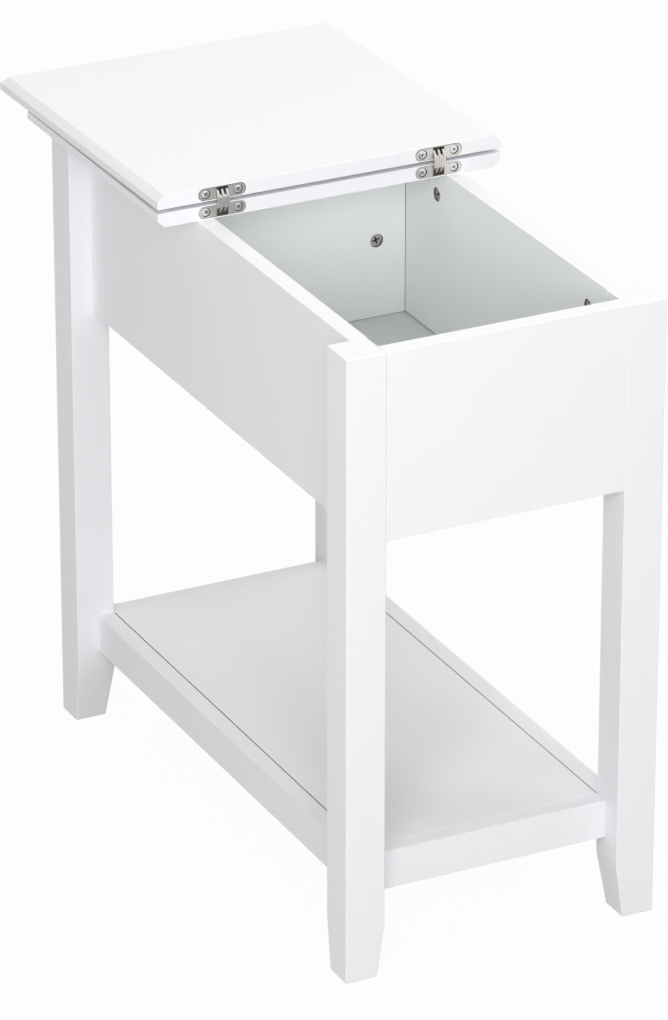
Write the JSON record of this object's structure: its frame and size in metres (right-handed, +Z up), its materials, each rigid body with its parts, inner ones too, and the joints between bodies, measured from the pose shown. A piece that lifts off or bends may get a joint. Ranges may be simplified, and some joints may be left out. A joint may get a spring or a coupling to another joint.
{
  "type": "flip top end table",
  "caption": "Narrow white end table: hinged front part of the top folds back over the rear part and opens a storage box; tapered legs and a low open shelf.",
  "frame": {"origin": "middle of the floor area that the table covers with its lid folded open", "axes": "+Z up; -Y towards the front, where the lid lies when closed; +X to the right, seen from the front, along the hinge axis"},
  "size_m": [0.333, 0.6671, 0.6106],
  "materials": {
    "white_paint": "white semi-gloss paint on fibreboard and wood",
    "floor_laminate": "white laminate on thin fibreboard",
    "hinge_nickel": "satin nickel plate on die-cast zinc and steel",
    "screw_steel": "bright zinc plate",
    "cam_zinc": "dark bronze zinc alloy",
    "bolt_steel": "zinc plated steel",
    "dowel_wood": "plain beech"
  },
  "bodies": {
    "table": {"box_divider": "white_paint", "box_floor": "floor_laminate", "box_front": "white_paint", "box_rear": "white_paint", "box_side_left": "white_paint", "box_side_right": "white_paint", "cam_bolts_box": "bolt_steel", "cam_bolts_divider": "bolt_steel", "cam_bolts_rails": "bolt_steel", "cam_bolts_top": "bolt_steel", "cam_locks_box": "cam_zinc", "cam_locks_divider": "cam_zinc", "cam_locks_rails": "cam_zinc", "cam_locks_top": "cam_zinc", "dowels_box": "dowel_wood", "dowels_divider": "dowel_wood", "dowels_rails": "dowel_wood", "dowels_shelf": "dowel_wood", "dowels_top": "dowel_wood", "fixed_top": "white_paint", "hinge_left_table_leaf": "hinge_nickel", "hinge_left_table_pin": "hinge_nickel", "hinge_left_table_screws": "screw_steel", "hinge_right_table_leaf": "hinge_nickel", "hinge_right_table_pin": "hinge_nickel", "hinge_right_table_screws": "screw_steel", "leg_front_left": "white_paint", "leg_front_right": "white_paint", "leg_rear_left": "white_paint", "leg_rear_right": "white_paint", "shelf_panel": "white_paint", "shelf_rail_front": "white_paint", "shelf_rail_left": "white_paint", "shelf_rail_rear": "white_paint", "shelf_rail_right": "white_paint"},
    "lid": {"hinge_left_lid_leaf": "hinge_nickel", "hinge_left_lid_pin": "hinge_nickel", "hinge_left_lid_screws": "screw_steel", "hinge_right_lid_leaf": "hinge_nickel", "hinge_right_lid_pin": "hinge_nickel", "hinge_right_lid_screws": "screw_steel", "lid": "white_paint"},
    "left_lower_links": {"hinge_left_lower_links": "hinge_nickel", "hinge_left_centre_pin": "hinge_nickel"},
    "left_upper_links": {"hinge_left_upper_links": "hinge_nickel"},
    "right_lower_links": {"hinge_right_lower_links": "hinge_nickel", "hinge_right_centre_pin": "hinge_nickel"},
    "right_upper_links": {"hinge_right_upper_links": "hinge_nickel"}
  },
  "joints": [
    {"name": "lid_hinge", "type": "hinge", "parent": "table", "child": "lid", "pos_m": [0, -0.0045, 0.5958], "axis": [1, 0, 0], "range_deg": [0, 180.56]},
    {"name": "left_lower_link_turn", "type": "hinge", "parent": "table", "child": "left_lower_links", "pos_m": [-0.105, 0.0006, 0.5907], "axis": [1, 0, 0], "range_deg": [0, 90.28]},
    {"name": "left_upper_link_turn", "type": "hinge", "parent": "lid", "child": "left_upper_links", "pos_m": [-0.105, 0.00065, 0.60085], "axis": [1, 0, 0], "range_deg": [-90.28, 0]},
    {"name": "right_lower_link_turn", "type": "hinge", "parent": "table", "child": "right_lower_links", "pos_m": [0.105, 0.0006, 0.5907], "axis": [1, 0, 0], "range_deg": [0, 90.28]},
    {"name": "right_upper_link_turn", "type": "hinge", "parent": "lid", "child": "right_upper_links", "pos_m": [0.105, 0.00065, 0.60085], "axis": [1, 0, 0], "range_deg": [-90.28, 0]}
  ],
  "couplings": [
    {"joint": "left_lower_link_turn", "follows": "lid_hinge", "ratio": 0.5},
    {"joint": "left_upper_link_turn", "follows": "lid_hinge", "ratio": -0.5},
    {"joint": "right_lower_link_turn", "follows": "lid_hinge", "ratio": 0.5},
    {"joint": "right_upper_link_turn", "follows": "lid_hinge", "ratio": -0.5}
  ]
}
